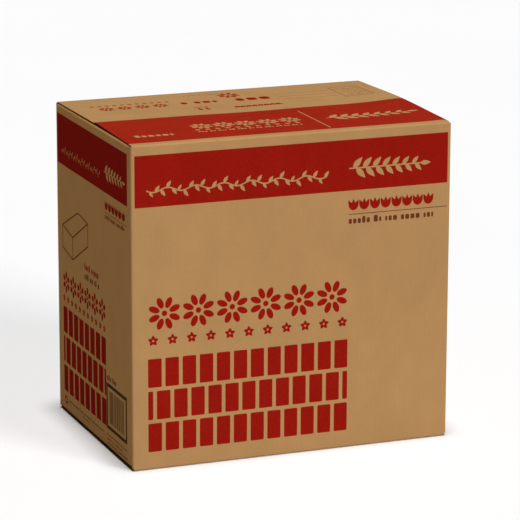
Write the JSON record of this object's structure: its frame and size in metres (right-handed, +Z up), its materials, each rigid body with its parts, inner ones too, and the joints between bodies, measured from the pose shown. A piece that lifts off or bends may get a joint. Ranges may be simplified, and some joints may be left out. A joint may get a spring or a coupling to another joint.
{
  "type": "carton of floral foam bricks",
  "caption": "Slotted corrugated shipping carton, closed on all sides, with hinged outer top flaps over inner flaps, and packed full of rectangular floral foam bricks standing on end.",
  "frame": {"origin": "centre of the carton's base, on the surface it stands on", "axes": "+Z up, -Y towards the front panel, +X along the carton's length to the right of the front"},
  "size_m": [0.49, 0.342, 0.474],
  "materials": {
    "kraft_board": "matte",
    "printed_board": "matte",
    "hot_melt_glue": "satin",
    "foam": "matte"
  },
  "bodies": {
    "carton": {"front_panel": "kraft_board", "back_panel": "kraft_board", "left_panel": "kraft_board", "right_panel": "kraft_board", "glue_tab": "kraft_board", "front_bottom_flap": "kraft_board", "back_bottom_flap": "kraft_board", "left_bottom_flap": "kraft_board", "right_bottom_flap": "kraft_board", "left_top_flap": "kraft_board", "right_top_flap": "kraft_board", "joint_glue": "hot_melt_glue", "bottom_glue_beads": "hot_melt_glue", "top_glue_beads": "hot_melt_glue", "brick_lower_front_1": "foam", "brick_lower_front_2": "foam", "brick_lower_front_3": "foam", "brick_lower_front_4": "foam", "brick_lower_front_5": "foam", "brick_lower_front_6": "foam", "brick_lower_middle_1": "foam", "brick_lower_middle_2": "foam", "brick_lower_middle_3": "foam", "brick_lower_middle_4": "foam", "brick_lower_middle_5": "foam", "brick_lower_middle_6": "foam", "brick_lower_back_1": "foam", "brick_lower_back_2": "foam", "brick_lower_back_3": "foam", "brick_lower_back_4": "foam", "brick_lower_back_5": "foam", "brick_lower_back_6": "foam", "brick_upper_front_1": "foam", "brick_upper_front_2": "foam", "brick_upper_front_3": "foam", "brick_upper_front_4": "foam", "brick_upper_front_5": "foam", "brick_upper_front_6": "foam", "brick_upper_middle_1": "foam", "brick_upper_middle_2": "foam", "brick_upper_middle_3": "foam", "brick_upper_middle_4": "foam", "brick_upper_middle_5": "foam", "brick_upper_middle_6": "foam", "brick_upper_back_1": "foam", "brick_upper_back_2": "foam", "brick_upper_back_3": "foam", "brick_upper_back_4": "foam", "brick_upper_back_5": "foam", "brick_upper_back_6": "foam"},
    "front_top_flap": {"front_top_flap": "printed_board"},
    "back_top_flap": {"back_top_flap": "kraft_board"}
  },
  "joints": [
    {"name": "front_flap_fold", "type": "hinge", "parent": "carton", "child": "front_top_flap", "pos_m": [0, -0.171, 0.474], "axis": [1, 0, 0], "range_deg": [0, 265]},
    {"name": "back_flap_fold", "type": "hinge", "parent": "carton", "child": "back_top_flap", "pos_m": [0, 0.171, 0.474], "axis": [-1, 0, 0], "range_deg": [0, 265]}
  ]
}
